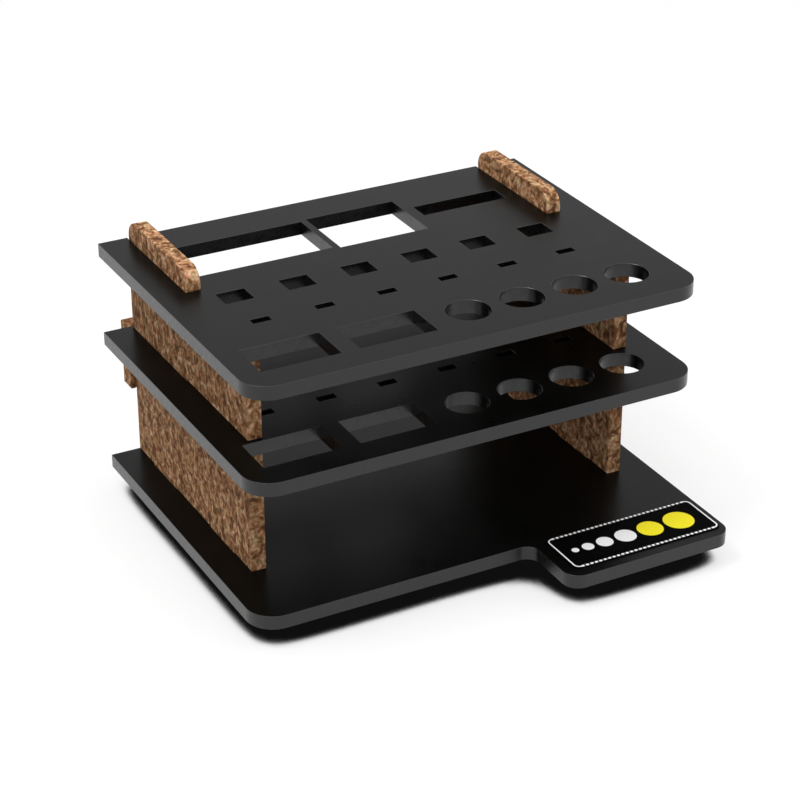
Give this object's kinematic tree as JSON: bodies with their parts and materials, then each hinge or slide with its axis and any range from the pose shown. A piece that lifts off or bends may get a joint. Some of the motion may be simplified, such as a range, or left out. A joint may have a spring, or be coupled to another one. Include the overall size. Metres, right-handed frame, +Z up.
{
  "type": "abrasives storage rack",
  "caption": "Low desk rack for sanding sticks and files: a base with a front tongue, slotted and drilled shelf boards on brown side supports, and a small stop behind each support.",
  "frame": {"origin": "on the bench, under the middle of the whole rack's footprint, tongue and back stops included", "axes": "+Z up, +X to the right as seen from the front, +Y to the back; the tongue points along -Y at the right"},
  "size_m": [0.1, 0.094, 0.0619],
  "materials": {
    "black_board": "satin black sheet with smooth cut edges",
    "brown_board": "raw mottled brown fibreboard",
    "label": "black plate with a white stitched border and plain dots",
    "foot_rubber": "matt black rubber"
  },
  "bodies": {
    "root": {"base_board": "black_board", "middle_shelf": "black_board", "top_shelf": "black_board", "left_support": "brown_board", "right_support": "brown_board", "left_back_stop": "brown_board", "right_back_stop": "brown_board", "label_plate": "label", "foot_front_left": "foot_rubber", "foot_front_right": "foot_rubber", "foot_back_left": "foot_rubber", "foot_back_right": "foot_rubber"}
  },
  "joints": []
}
